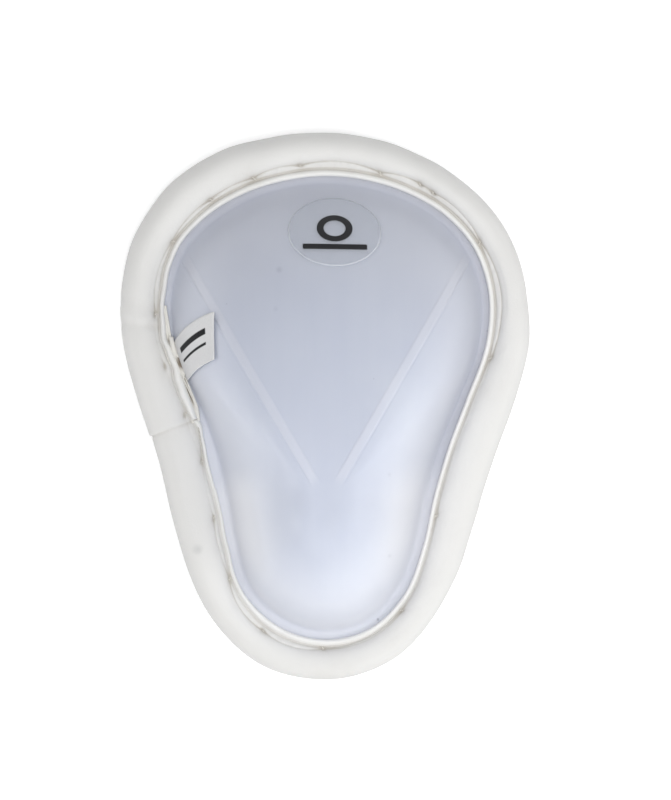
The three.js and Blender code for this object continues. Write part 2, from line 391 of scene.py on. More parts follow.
def close_up(bm):
    """Merges doubles, covers any end that is open, and turns the faces outwards."""
    bmesh.ops.remove_doubles(bm, verts=bm.verts, dist=MERGE)
    open_edges = [edge for edge in bm.edges if edge.is_boundary]
    if open_edges:
        bmesh.ops.holes_fill(bm, edges=open_edges, sides=0)
    bmesh.ops.recalc_face_normals(bm, faces=bm.faces)


def finish_piece(name, bm, finish, slot, *nodes):
    mesh = bpy.data.meshes.new(name)
    bm.to_mesh(mesh)
    triangles = sum(len(face.verts) - 2 for face in bm.faces)
    bm.free()
    mesh.shade_smooth()
    piece = bpy.data.objects.new(name, mesh)
    bpy.context.scene.collection.objects.link(piece)
    finish.on(piece)
    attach(piece, "root")
    if nodes:
        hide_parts(*nodes)
    size = [round(side / MM, 1) for side in piece.dimensions]
    print(f"{name}: {triangles} triangles, {size} mm")
    return piece


# %% [markdown]
# ## The moulded cup
# The cup is one thin wall of plastic with a flange round it. Its height follows rays that leave
# the nose: full and round, steeper towards the tail, with two soft ridges that run up to the
# broad corners. It could be spun or lofted; rays are used because both ridges then lie along
# columns of the grid and stay crisp. The wall is drawn once and given its thickness at the end.

# %% The cup's height
FLANGE_TOP = 9
FLANGE_REACH = 0.62
CUP_HEIGHT = 46
CUP_WALL = 2
FILLET_RUN = 2.0
FILLET_BITE = 0.7
FULLNESS_AT_TOP, FULLNESS_AT_TAIL = 2, 3
RIDGE_ROUND, RIDGE_SPREAD, RIDGE_LIFT, RIDGE_FADE_IN = 1.2, 7, 0.03, 0.5
NOSE = np.array((0, -0.403 * OPENING_LENGTH / 2))


def ray_to(flat):
    away = flat - NOSE
    return np.arctan2(away[..., 0], away[..., 1]), np.linalg.norm(away, axis=-1)


# The toe is where the wall runs out into the flange. The cover hides most of the flange at the
# broad end, and least of it below the join.
FLANGE_SHOW = np.array([
    # share, mm of bare flange inside the lip
    (0.00, 0.35), (0.10, 0.45), (0.20, 1.10), (0.30, 1.30), (0.43, 1.20), (0.50, 0.90),
    (0.57, 1.20), (0.64, 2.10), (0.72, 2.30), (0.78, 1.60), (0.86, 0.80), (0.93, 0.40),
])


def toe_at(share):
    return beside_lip(share, -np.interp(np.mod(share, 1), *FLANGE_SHOW.T, period=1))


toe_bearing, toe_reach = ray_to(toe_at(ALL_ROUND))
RIDGE_BEARINGS, RIDGE_REACHES = ray_to(toe_at(np.array((RIDGE_ROW, -RIDGE_ROW)) / len(LIP)))


def wall_rise(bearing, wall_reach, distance):
    share = distance / wall_reach
    fullness = FULLNESS_AT_TOP + (FULLNESS_AT_TAIL - FULLNESS_AT_TOP) * (1 - np.cos(bearing)) / 2
    ridge = 0
    for ridge_bearing in RIDGE_BEARINGS:
        turn = bearing - ridge_bearing
        aside = np.where(np.cos(turn) > 0, distance * np.sin(turn), distance)
        ridge = ridge + np.exp((RIDGE_ROUND - np.hypot(aside, RIDGE_ROUND)) / RIDGE_SPREAD)
    crown = 1 + RIDGE_LIFT * ridge * ease(share, 0, RIDGE_FADE_IN)
    return CUP_HEIGHT * (1 - share ** fullness) * crown


def cup_rise(bearing, reach, distance):
    """Height above the flange. The fillet starts with the wall's slope and dies out flat."""
    wall_reach = reach - FILLET_BITE * FILLET_RUN
    fillet_start = reach - FILLET_RUN
    on_wall = np.minimum(distance, fillet_start)
    rise = wall_rise(bearing, wall_reach, on_wall)
    small = 0.01
    start = wall_rise(bearing, wall_reach, fillet_start)
    slope = (wall_rise(bearing, wall_reach, fillet_start - small) - start) / small
    left = np.clip((reach - distance) / FILLET_RUN, 0, 1)
    fillet = start * left ** (slope * FILLET_RUN / start)
    return np.where(distance <= fillet_start, rise, fillet)


def cup_height(flat):
    bearing, distance = ray_to(flat)
    reach = np.interp(bearing, toe_bearing, toe_reach, period=2 * math.pi)
    return FLANGE_TOP + cup_rise(bearing, reach, distance)


def off_cup(flat, lift):
    """Places in metres, lifted off the cup's face and square to it."""
    small = 0.05
    across, along = np.array((small, 0)), np.array((0, small))
    slope_x = (cup_height(flat + across) - cup_height(flat - across)) / (2 * small)
    slope_y = (cup_height(flat + along) - cup_height(flat - along)) / (2 * small)
    normal = np.stack([-slope_x, -slope_y, np.ones_like(slope_x)], axis=-1)
    normal /= np.linalg.norm(normal, axis=-1, keepdims=True)
    lift = np.broadcast_to(lift, slope_x.shape)[..., None]
    return world(flat, cup_height(flat)) + normal * lift * MM


# %% The cup's wall
# How much painted shade greys the plastic along its toe; where there is less, painted light makes
# the toe lighter
TOE_SHADE = np.array([
    # share, grey
    (0.00, 1.0), (0.25, 1.0), (0.36, 0.7), (0.45, 0.2), (0.55, 0.0), (0.74, 0.0), (0.83, 0.6),
    (0.90, 1.0), (1.00, 1.0),
])
TOE_STARTS, TOE_AT_FILLET = 0.5, 0.6
# Where the wall's colour is painted lighter, as painted light: from so many mm below the crown,
# over so many mm towards the narrow end, and on the sides of the nose more than straight ahead
# of it. It wanes towards the tail.
PAINTED_LIGHT_DROP, PAINTED_LIGHT_DROP_AHEAD = (4, 30), (28, 42)
PAINTED_LIGHT_RUN, PAINTED_LIGHT_WANES = 14, (24, 36)
PAINTED_LIGHT_SIDEWAYS = (0.25, 0.85)
WANED_BY, PAINTED_LIGHT_AT_TOE = 0.3, 0.7
CUP_COLUMNS = 640
WALL_RINGS, FILLET_RINGS, FLANGE_RINGS = 44, 10, 6
RING_BIAS = 0.85

cup_share = np.linspace(0, 1, CUP_COLUMNS + 1)
bearing, reach = ray_to(toe_at(cup_share))
heading = np.stack([np.sin(bearing), np.cos(bearing)], axis=-1)


def cup_ring(distance):
    flat = NOSE + heading * distance[:, None]
    return world(flat, FLANGE_TOP + cup_rise(bearing, reach, distance))


wall_parts = np.linspace(0, 1, WALL_RINGS + 1) ** RING_BIAS
fillet_parts = np.linspace(0, 1, FILLET_RINGS + 1)[1:]
flange_parts = np.linspace(0, 1, FLANGE_RINGS + 1)[1:]
flange_edge = band_at(cup_share) * FLANGE_REACH
cup_rows = [cup_ring((reach - FILLET_RUN) * part) for part in wall_parts]
cup_rows += [cup_ring(reach - FILLET_RUN * (1 - part)) for part in fillet_parts]
cup_rows += [world(toe_at(cup_share) * (1 - part) + beside_lip(cup_share, flange_edge) * part,
                   FLANGE_TOP) for part in flange_parts]
cup_places = np.stack(cup_rows)

toe = np.concatenate([ease(wall_parts, TOE_STARTS, 1.0) * TOE_AT_FILLET,
                      TOE_AT_FILLET + (1 - TOE_AT_FILLET) * fillet_parts,
                      np.ones(FLANGE_RINGS)])[:, None]
# Painted shade along the toe, strongest at the broad end
toe_shade = np.interp(cup_share, *TOE_SHADE.T)
drop = FLANGE_TOP + CUP_HEIGHT - cup_places[..., 2] / MM
down_picture = NOSE[1] + SHIFT[1] + PAINTED_LIGHT_RUN - cup_places[..., 1] / MM
sideways = np.maximum(ease(np.abs(np.sin(bearing)), *PAINTED_LIGHT_SIDEWAYS), ease(drop, *PAINTED_LIGHT_DROP_AHEAD))
# Painted light: the lower walls by the nose are painted lighter, and so is the toe on the sides
milk = ease(drop, *PAINTED_LIGHT_DROP) * ease(down_picture, 0, PAINTED_LIGHT_RUN) * sideways
milk = np.maximum(milk * (1 - WANED_BY * ease(down_picture, *PAINTED_LIGHT_WANES)),
                  toe * (1 - toe_shade) * PAINTED_LIGHT_AT_TOE)
cup_bm = lay_grid(cup_places, toe=toe * toe_shade, milk=milk)
bmesh.ops.remove_doubles(cup_bm, verts=cup_bm.verts, dist=MERGE)
face_up(cup_bm)
bmesh.ops.solidify(cup_bm, geom=cup_bm.faces, thickness=CUP_WALL * MM)

# %% [markdown]
# ## Milky plastic
# The cup is polyethylene: cloudy, faintly blue, with a soft shine. Light goes a little way into
# it, so a subsurface weight takes the hardness off the shading. Two measures stored on the mesh
# say where its colour is painted: one paints light on the lower walls by the nose and on the toe
# along the sides, and toe paints shade along the toe at the broad end. The two ridges carry a
# narrow raised band with a fine line along its outer side, where two faces of the mould met; the
# band's colour is painted lighter, a painted highlight, and the line a touch darker, painted
# shade. A few specks show that the guard has been handled.

# %% Plastic
SPECKS = [
    # x, y in mm from the cup's axis, radius, strength
    (-12.9, 37.0, 0.8, 0.16), (-13.7, 26.3, 0.7, 0.08), (16.8, -18.2, 0.6, 0.1),
    (17.0, -40.3, 0.6, 0.1), (14.0, -58.4, 0.45, 0.6), (44.0, 20.7, 0.35, 0.5),
    (-27.1, 27.8, 0.3, 0.3), (12.6, 7.5, 0.3, 0.2),
]
PLASTIC_DEEP, PLASTIC_PALE = (0.57, 0.605, 0.705), (0.61, 0.645, 0.735)
STREAK_TONE, RIDGE_HIGHLIGHT_TONE = (0.71, 0.73, 0.80), (0.8, 0.8, 0.86)
PAINTED_LIGHT_TONE, TOE_SHADE_TONE, SPECK_TONE = (0.80, 0.815, 0.875), (0.50, 0.505, 0.55), (0.12, 0.13, 0.2)
# The raised band on a ridge and the line beside it, in mm
RIDGE_BAND, BAND_SOFTNESS, BAND_RISE = 2.3, 0.35, 0.13
LINE_ASIDE, LINE_EDGES, LINE_DEPTH = 0.3, (0.05, 0.45), 0.06
BAND_AHEAD, BAND_SHORT_OF_TOE = (4, 10), (4, 1)
CLOUD_RISE, GRAIN_RISE = 0.08, 0.004


def plastic():
    finish = Finish("milky_plastic", Subsurface_Weight=0.6, Subsurface_Scale=0.004,
                    Subsurface_Radius=(1.0, 1.0, 1.0), IOR=1.5)
    place = finish.place()
    x, y = finish.parts(place)[:2]
    cloud = finish.grain(place, 28.0, detail=3.0)
    streak_place = finish.vector("MULTIPLY", place, (260.0, 22.0, 22.0))
    streak = finish.grain(streak_place, 1.0)
    ridge_height, ridge_light_and_shade = 0, 0
    nose_x, nose_y = (NOSE + SHIFT) * MM
    for side, ridge_bearing, ridge_reach in zip((1, -1), RIDGE_BEARINGS, RIDGE_REACHES):
        ahead_x, ahead_y = math.sin(ridge_bearing), math.cos(ridge_bearing)
        ahead = (x - nose_x) * ahead_x + (y - nose_y) * ahead_y
        aside = ((x - nose_x) * ahead_y - (y - nose_y) * ahead_x) * side
        fades_in = [distance * MM for distance in BAND_AHEAD]
        fades_out = [(ridge_reach - distance) * MM for distance in BAND_SHORT_OF_TOE]
        shown = ahead.smooth(*fades_in) * (1 - ahead.smooth(*fades_out))
        half, soft = RIDGE_BAND / 2 * MM, BAND_SOFTNESS * MM
        raised = 1 - abs(aside).smooth(half - soft, half + soft)
        line_edges = [edge * MM for edge in LINE_EDGES]
        line = 1 - abs(aside - half - LINE_ASIDE * MM).smooth(*line_edges)
        ridge_height = ridge_height + shown * (raised * (BAND_RISE * MM) - line * (LINE_DEPTH * MM))
        ridge_light_and_shade = ridge_light_and_shade + shown * (raised - line * 1.4)
    stain = 0
    for speck_x, speck_y, radius, strength in SPECKS:
        centre = (np.array((speck_x, speck_y)) + SHIFT) * MM
        away = span(x - centre[0], y - centre[1])
        wobble = finish.grain(place, 2500.0) * (0.4 * MM)
        stain = stain + (1 - (away + wobble).smooth(radius * 0.4 * MM, radius * 1.8 * MM)) * strength
    tone = finish.blend(cloud.smooth(0.35, 0.7), PLASTIC_DEEP, PLASTIC_PALE)
    tone = finish.blend(streak * 0.22, tone, STREAK_TONE)
    # Painted highlight on each ridge band, and a touch of painted shade on the line beside it
    tone = finish.blend((ridge_light_and_shade * 0.10 + 0.02).smooth(0.0, 0.12) * 0.24, tone, RIDGE_HIGHLIGHT_TONE)
    # Painted light on the lower walls and on the toe along the sides
    tone = finish.blend(finish.attribute("milk") * 0.9, tone, PAINTED_LIGHT_TONE)
    # Painted shade along the toe at the broad end
    tone = finish.blend(finish.attribute("toe") * 0.75, tone, TOE_SHADE_TONE)
    tone = finish.blend(stain, tone, SPECK_TONE)
    fine = finish.grain(place, 700.0, detail=3.0)
    height = ridge_height + cloud * (CLOUD_RISE * MM) + fine * (GRAIN_RISE * MM)
    finish.wear(
        Base_Color=tone,
        Roughness=0.285 + cloud * 0.08,
        Normal=finish.bump(height),
    )
    return finish


finish_piece("cup", cup_bm, plastic(), "cup_plastic", "cup_shell")

# %% [markdown]
# ## The padded rim
# A strip of foam is folded over the flange and covered in leatherette. Its section is a soft
# roll. The cover is pulled down at every hand stitch, so each stitch makes a dimple, and between
# two stitches the spare leatherette folds along a curved crease. A cloth simulation loses folds
# as small as these, so the roll is swept and the folds are pressed into it by measured amounts.
# Slow lumps of noise over the whole roll keep the foam from looking turned on a lathe.

# %% Stitches and folds
PAD_HEIGHT = 12.4
PAD_CREST = 0.57
PAD_INNER_BULGE = 1.2
CLEARANCE = 0.3
GROOVE_HEIGHT = 9.7
GROOVE_WIDTH = 0.3
LENS_HEIGHT = 10.5

# The crease leaves each stitch, bows out by bulge, and comes back in at the next stitch
STITCHES = np.array([
    # share, out, bulge, crease_depth
    (0.0452, 2.89, 0.45, 0.3), (0.0805, 3.75, 0.1, 0.3), (0.0939, 3.28, 0.55, 0.24),
    (0.1512, 2.36, 1.05, 0.3), (0.2385, 2.36, 0.25, 0.14), (0.3606, 1.75, 0.15, 0.1),
    (0.434, 2.2, 0.2, 0.22), (0.503, 2.53, 0.6, 0.2), (0.549, 3.3, 0.75, 0.28),
    (0.5916, 1.62, 0.4, 0.2), (0.6375, 1.45, 0.35, 0.14), (0.6817, 1.4, 0.3, 0.08),
    (0.7201, 2.0, 0.3, 0.05), (0.756, 2.1, 0.3, 0.07), (0.7921, 2.0, 0.45, 0.22),
    (0.8494, 2.2, 0.45, 0.32), (0.8966, 3.1, 0.3, 0.32), (0.9379, 3.05, 0.65, 0.28),
    (0.9785, 3.4, 0.95, 0.3),
])
HEM_EDGES = np.array([
    # share, inner, outer, both in mm out from the lip
    (0.0, 0.0, 1.9), (0.045, 0.0, 1.85), (0.094, 0.0, 1.75), (0.151, 0.0, 1.6),
    (0.2, 0.0, 1.45), (0.24, 0.0, 1.45), (0.3, 0.0, 1.35), (0.36, 0.0, 1.25), (0.43, 0.0, 1.5),
    (0.503, 0.0, 1.9), (0.549, 0.0, 1.8), (0.592, -0.2, 1.05), (0.6155, -0.75, 0.5),
    (0.638, -1.05, 0.15), (0.6535, -0.9, 0.25), (0.666, -0.5, 0.6), (0.679, -0.3, 0.8),
    (0.698, -0.8, 0.45), (0.709, -1.5, 0.15), (0.716, -1.03, 0.8), (0.7233, -1.05, 1.05),
    (0.7306, -1.1, 1.25), (0.735, -1.05, 1.45), (0.7442, -1.2, 1.2), (0.7539, -1.75, 0.35),
    (0.7648, -1.17, 0.6), (0.774, -0.48, 1.15), (0.7861, -0.7, 0.88), (0.7956, -0.5, 0.84),
    (0.8101, -0.7, 0.85), (0.83, -0.3, 1.25), (0.86, 0.0, 1.6), (0.9, 0.0, 1.8),
    (0.95, 0.0, 1.9),
])


def round_table(table, share, column):
    """A column of a table by share, with a soft step from row to row and back to the start."""
    share = np.mod(share, 1)
    row = np.searchsorted(table[:, 0], share, side="right") - 1
    here, following = table[row], table[(row + 1) % len(table)]
    gap = np.mod(following[..., 0] - here[..., 0], 1)
    part = np.mod(share - here[..., 0], 1) / gap
    return here[..., column], following[..., column], part


def hem_edges(share):
    """The bead's inner and outer edge, in mm out from the lip."""
    edges = []
    for column in (1, 2):
        here, following, part = round_table(HEM_EDGES, share, column)
        edges.append(here + (following - here) * ease(part))
    return edges


def crease_out(share):
    here, following, part = round_table(STITCHES, share, 1)
    bulge = round_table(STITCHES, share, 2)[0]
    return here + (following - here) * part + bulge * np.sin(math.pi * part) ** 0.8


def crease_depth(share):
    here, following, part = round_table(STITCHES, share, 3)
    return here * (1 - 0.35 * np.sin(math.pi * part))


# %% The roll of foam
# How much painted shade lies in the groove between the hem and the cover
GROOVE_SHADE = np.array([
    # share, shade
    (0.00, 1.0), (0.20, 1.0), (0.30, 0.8), (0.45, 0.6), (0.60, 0.55), (0.65, 0.4), (0.77, 0.4),
    (0.82, 0.9), (1.00, 1.0),
])
PAD_COLUMNS = 880
TOP_POINTS, SIDE_POINTS, UNDER_POINTS, BULGE_POINTS = 46, 34, 8, 9
SLOT_TOP = FLANGE_TOP + CLEARANCE
SLOT_FLOOR = FLANGE_TOP - CUP_WALL - CLEARANCE
LEAST_SKIN = 0.3

# Depths, widths and reaches of what the sewing does to the cover, in mm
CRISP_DEPTH = 0.28
FOLD_DEEPENS = 1.25
SECOND_FOLDS = ((0.150, 0.215), (0.795, 0.850), (0.555, 0.590))
SECOND_FOLD_OUT, SECOND_FOLD_DEPTH = 1.05, 0.16
DIMPLE_DEPTH, DIMPLE_REACH = 0.70, 0.48
HOLLOW_DEPTH, HOLLOW_REACH = 0.25, 1.9
RAY_LEANS, RAY_DEPTH, RAY_WIDTH, RAY_LENGTH = (-1.1, 0.0, 0.9), 0.14, 0.42, 1.7

# The join of the cover: one end laps over the other and a slit is left between them. Further on
# the roll creases right across, and a shallow swell follows.
JOIN = 0.7133
LAP_RISE, LAP_LENGTH = 0.34, 16
SLIT_DEPTH, SLIT_WIDTH, SINK_DEPTH, SINK_WIDTH = 0.42, 0.33, 0.16, 1.4
BEND, BEND_LEAN, BEND_DEPTH, BEND_WIDTH = 0.7815, 0.0062, 0.42, 1.15
NEXT_BEND, NEXT_BEND_DEPTH, NEXT_BEND_WIDTH = 4.6, 0.16, 1.6


def soft_crease(off, outer_side, inner_side):
    """1 on the crease, falling away faster on the outer side."""
    rounded = np.hypot(off, 0.12) - 0.12
    return np.exp(-rounded / np.where(off > 0, outer_side, inner_side))


def hump(off, width):
    return np.exp(-(off / width) ** 2)


def along_from(share, start):
    """How far along the lip in mm, the shorter way round."""
    return (np.mod(share - start + 0.5, 1) - 0.5) * LIP_LENGTH


def ripples(share, out, along_size, across_size):
    """Noise that follows the lip and meets itself after one turn. Sizes are in mm."""
    share, out = np.broadcast_arrays(share, out)
    radius = LIP_LENGTH / (2 * math.pi) / along_size
    turn = 2 * math.pi * share
    places = np.stack([radius * np.cos(turn), radius * np.sin(turn), out / across_size], axis=-1)
    values = np.fromiter((noise.noise(Vector(place)) for place in places.reshape(-1, 3)), float,
                         share.size)
    return values.reshape(share.shape)


def top_of_pad(share, out):
    """The cover's height from the hem to the crest, its folds, and its stitch dimples."""
    start = hem_edges(share)[1] + GROOVE_WIDTH
    crest = band_at(share) * PAD_CREST
    crease = np.maximum(crease_out(share), start + 0.35)
    crisp = np.clip(crease_depth(share) / CRISP_DEPTH, 0, 1)
    part = np.clip((out - start) / (crest - start), 0, 1)
    plain = GROOVE_HEIGHT + (PAD_HEIGHT - GROOVE_HEIGHT) * (1 - (1 - part) ** 2.3) ** (1 / 1.4)
    lens_part = np.clip((out - start) / (crease - start), 0, 1)
    lens = GROOVE_HEIGHT + (LENS_HEIGHT - GROOVE_HEIGHT) * (1 - (1 - lens_part) ** 2.5)
    roll_part = np.clip((out - crease) / (crest - crease), 0, 1)
    roll = (PAD_HEIGHT - LENS_HEIGHT) * (1 - (1 - roll_part) ** 2.2) ** (1 / 1.25)
    height = plain * (1 - crisp) + (lens + roll) * crisp
    in_lens = ease(out, start, start + 0.3) * (1 - ease(out, crease - 0.1, crease + 0.4))
    tucks = ripples(share, out, 1.3, 4.0) * 0.24 + ripples(share, out, 5.0, 0.8) * 0.18
    height = height + in_lens * tucks
    fold = crease_depth(share) * FOLD_DEEPENS * soft_crease(out - crease, 0.38, 0.30)
    for first, last in SECOND_FOLDS:
        shown = ease(share, first, first + 0.012) * (1 - ease(share, last - 0.012, last))
        second = soft_crease(out - crease - SECOND_FOLD_OUT, 0.4, 0.4)
        fold = fold + SECOND_FOLD_DEPTH * shown * second
    dimple = np.zeros_like(fold)
    for stitch_share, stitch_out in STITCHES[:, :2]:
        along = along_from(share, stitch_share)
        across = out - stitch_out
        reach = np.hypot((along + 0.8 * across) / 1.5, across)
        dimple = dimple + DIMPLE_DEPTH * hump(reach, DIMPLE_REACH)
        dimple = dimple + HOLLOW_DEPTH * hump(reach, HOLLOW_REACH)
        ray_on = ease(across, 0.1, 0.8) * np.exp(-np.maximum(across, 0) / RAY_LENGTH)
        for lean in RAY_LEANS:
            dimple = dimple + RAY_DEPTH * ray_on * hump(along - lean * across, RAY_WIDTH)
    line = np.exp(-np.abs(out - crease) / 0.17) * np.clip(crease_depth(share) / 0.22, 0, 1)
    return height, fold, dimple, line


def press(share, out):
    """The join of the cover and the crease across the roll, as a lift along the section."""
    from_join = along_from(share, JOIN)
    over = LAP_RISE * ease(from_join, 0.0, 0.35) * np.exp(-np.maximum(from_join, 0) / LAP_LENGTH)
    slit = SLIT_DEPTH * hump(from_join, SLIT_WIDTH) + SINK_DEPTH * hump(from_join + 1.2, SINK_WIDTH)
    from_bend = (share - BEND - BEND_LEAN * (out / PAD_BAND)) * LIP_LENGTH
    near_hem = 0.45 + 0.55 * hump(out - 2.5, 2.6)
    fold = BEND_DEPTH * near_hem * hump(from_bend, BEND_WIDTH)
    fold = fold + NEXT_BEND_DEPTH * hump(from_bend - NEXT_BEND, NEXT_BEND_WIDTH)
    return over - slit - fold, slit / SLIT_DEPTH + fold / 0.6


def pad_rows():
    share = np.linspace(0, 1, PAD_COLUMNS + 1)
    band = band_at(share)
    crest = band * PAD_CREST
    outer = hem_edges(share)[1]
    start = outer - 0.2
    slot_depth = band * FLANGE_REACH + CLEARANCE
    waist = PAD_HEIGHT / 2
    groove_shade = np.interp(share, *GROOVE_SHADE.T)
    rows = []

    def add(out, up, fold=0.0):
        shape = share.shape
        rows.append((np.broadcast_to(out, shape), np.broadcast_to(up, shape),
                     np.broadcast_to(fold, shape)))

    for part in (1.0, 0.5, 0.0):
        add(start + (slot_depth - start) * part, SLOT_TOP)
    for part in np.linspace(0, 1, TOP_POINTS):
        out = start + (crest - start) * (0.55 * part + 0.45 * part ** 2.2)
        height, fold, dimple, line = top_of_pad(share, out)
        lifted, join = press(share, out)
        up = np.maximum(height - fold - dimple + lifted, SLOT_TOP + LEAST_SKIN)
        # Painted shade in the groove beside the hem
        valley = (1 - ease(out, outer + 0.35, outer + 0.95)) * groove_shade
        # Painted shade in the folds, crease lines, stitch dimples and the join
        darkening = fold * 0.8 + line * 0.75 + dimple * 1.1 + join * 0.4 + valley * 0.75
        add(out, up, np.clip(darkening, 0, 1))
    for angle in np.linspace(90, -90, SIDE_POINTS)[1:]:
        across, up = math.cos(math.radians(angle)), math.sin(math.radians(angle))
        out = crest + (band - crest) * across
        lifted, join = press(share, out)
        raised = waist + waist * up + lifted * max(up, 0)
        # Painted shade in the join and the bend on the roll's side
        add(out + lifted * across, raised, np.clip(join * 0.5, 0, 1))
    for part in np.linspace(0, 1, UNDER_POINTS + 1)[1:]:
        add(crest + (-PAD_INNER_BULGE / 2 - crest) * part, 0.0)
    for angle in np.linspace(270, 90, BULGE_POINTS)[1:]:
        across, up = math.cos(math.radians(angle)), math.sin(math.radians(angle))
        add(-PAD_INNER_BULGE / 2 + PAD_INNER_BULGE * across, SLOT_FLOOR / 2 * (1 + up))
    add(slot_depth * 0.5, SLOT_FLOOR)
    add(slot_depth, SLOT_FLOOR)
    rows.append(rows[0])
    return share, *(np.stack(column) for column in zip(*rows))


share, pad_out, pad_up, pad_shade = pad_rows()
pad_places = world(beside_lip(np.broadcast_to(share, pad_out.shape), pad_out), pad_up)


def lumps(places, size, amount):
    """Slow rises and falls of foam, the same on every run."""
    flat = places.reshape(-1, 3) / (size * MM)
    values = np.fromiter((noise.noise(Vector(place)) for place in flat), float, len(flat))
    return (values * amount * MM).reshape(places.shape[:-1])


upper = ease(pad_up, SLOT_TOP + 0.2, PAD_HEIGHT - 1)
pad_places[..., 2] += upper * (lumps(pad_places, 17, 0.34) + lumps(pad_places, 5.5, 0.15))
rim_bm = lay_grid(pad_places, fold=pad_shade)
close_up(rim_bm)

# %% [markdown]
# ## White leatherette
# Leatherette is a smooth coating on cloth with a fine pressed grain. It is nearly white and a
# little warm, with a few random grey patches. Painted shade darkens it in the folds, the stitch
# dimples, the groove beside the hem and the slit at the join, and along the low sides of the
# roll. The shade of the folds, dimples, groove and slit was stored on the mesh as a measure
# called fold, so the finish can find it from any side.

# %% Leatherette
def leatherette(name, light, shade, grain_depth=1.0, foot_shade=0.0, smudges=()):
    finish = Finish(name, IOR=1.46, Sheen_Weight=0.05, Sheen_Roughness=0.4)
    place = finish.place()
    x, y, z = finish.parts(place)
    patches = finish.grain(place, 45.0, detail=4.0)
    pores = finish.node("ShaderNodeTexVoronoi", {"feature": "F1"}, place, Scale=1500.0)
    crinkle = finish.grain(place, 420.0, detail=5.0, roughness=0.6)
    fold = finish.attribute("fold")
    # Painted shade in the folds, from the fold measure, plus a little random dirt in patches
    darkening = (fold * 0.55).smooth(0.0, 1.0) + (patches - 0.5).smooth(0.12, 0.3) * 0.10
    tone = finish.blend(patches.smooth(0.3, 0.7), light, [part * 0.975 for part in light])
    # Painted shade on the low sides of the roll, darker towards the floor
    shaded_foot = (1 - z.smooth(3.5 * MM, 12.4 * MM)) * foot_shade
    tone = finish.blend(shaded_foot, tone, [part * 0.64 for part in light])
    tone = finish.blend(darkening, tone, shade)
    for smudge_x, smudge_y, radius, strength in smudges:
        centre = (np.array((smudge_x, smudge_y)) + SHIFT) * MM
        away = span(x - centre[0], y - centre[1])
        spot = 1 - (away + crinkle * MM).smooth(radius * 0.2 * MM, radius * 1.7 * MM)
        tone = finish.blend(spot * strength, tone, (0.35, 0.36, 0.36))
    height = (pores * (0.035 * MM * grain_depth) + crinkle * (0.05 * MM * grain_depth)
              + crinkle * fold * (0.18 * MM))
    finish.wear(
        Base_Color=tone,
        Roughness=0.42 + patches * 0.12 + fold * 0.1,
        Normal=finish.bump(height, 0.8),
    )
    return finish


rim_finish = leatherette("rim_leatherette", (0.755, 0.748, 0.73), (0.37, 0.33, 0.27),
                         foot_shade=0.9, smudges=[(-35.35, -39.1, 1.5, 0.3)])
rim = finish_piece("rim", rim_bm, rim_finish, "rim_leatherette", "padded_rim")

# %% [markdown]
# ## The hem
# The cover's edge is turned in to make a narrow bead along the lip. It is one strip that goes
# all the way round and is cut off square at the join, where it wanders over the end beneath it.
# A bead is a small closed section swept along the lip, so it is a grid closed along its rows.

# %% The bead
HEM_START, HEM_END = 0.7143, 1.7133
HEM_HEIGHT = 1.5
FLAP_THICKNESS = 0.6
FLAP_LAST = 0.80
HEM_COLUMNS = 1100
BEAD_TOP, BEAD_UNDER = 20, 6
BEAD_SAG = 0.12

hem_share = np.linspace(HEM_START, HEM_END, HEM_COLUMNS)
bead_inner, bead_outer = hem_edges(hem_share)
bead_width = bead_outer - bead_inner
bead_height = HEM_HEIGHT * (0.62 + 0.38 * ease(bead_width, 1.1, 1.8))
over_flap = 1 - ease(hem_share, FLAP_LAST, FLAP_LAST + 0.015)
bead_ground = cup_height(beside_lip(hem_share, bead_inner + bead_width * 0.3))
bead_base = np.maximum(bead_ground, FLANGE_TOP) + CLEARANCE * 0.4 + over_flap * FLAP_THICKNESS


def bead_row(across, up):
    """One line along the bead: a share of its width across and of its height up."""
    flat = beside_lip(hem_share, bead_inner + bead_width * across)
    return world(flat, bead_base + bead_height * up)


# The crown of the bead leans to the cup, but stands upright where it wanders at the join
LEAN_ALL_ROUND, LEAN_AT_JOIN = 0.78, 1.0
CROWN_FULLNESS = 0.5
lean = LEAN_ALL_ROUND + (LEAN_AT_JOIN - LEAN_ALL_ROUND) * over_flap
bead_over = (1 - np.cos(np.linspace(0, math.pi, BEAD_TOP))) / 2
bead_below = np.linspace(1, 0, BEAD_UNDER + 2)[1:-1]
hem_rows = [bead_row(across, np.abs(np.sin(math.pi * across ** lean)) ** CROWN_FULLNESS)
            for across in bead_over]
hem_rows += [bead_row(across, -BEAD_SAG) for across in bead_below]
hem_rows.append(hem_rows[0])
hem_top = [math.sin(math.pi * across) ** CROWN_FULLNESS for across in bead_over]
hem_top += [0] * BEAD_UNDER + [hem_top[0]]
hem_places = np.stack(hem_rows)
hem_swell = lumps(hem_places, 3.2, 0.20) + lumps(hem_places, 9, 0.14)
hem_places[..., 2] += hem_swell * np.array(hem_top)[:, None]
bead_sides = np.concatenate([bead_over, bead_below, [0]])
groove_shade = np.interp(np.mod(hem_share, 1), *GROOVE_SHADE.T)
# Painted shade on the bead's outer side, where it dips into the groove
hem_shade = 0.75 * groove_shade * ease(bead_sides[:, None], 0.82 - 0.2 * groove_shade, 1.0)
hem_bm = lay_grid(hem_places, fold=0.05 + hem_shade)
close_up(hem_bm)
hem_finish = leatherette("hem_leatherette", (0.83, 0.825, 0.805), (0.42, 0.38, 0.32), 0.8)
finish_piece("hem", hem_bm, hem_finish, "hem_leatherette", "face_hem")

# %% [markdown]
# ## The flap, the size label and the sticker
# Three thin sheets lie on the cup. Each is drawn as a grid on the cup's own face and then given
# its thickness, so it follows the curve beneath it and stays clear of it.

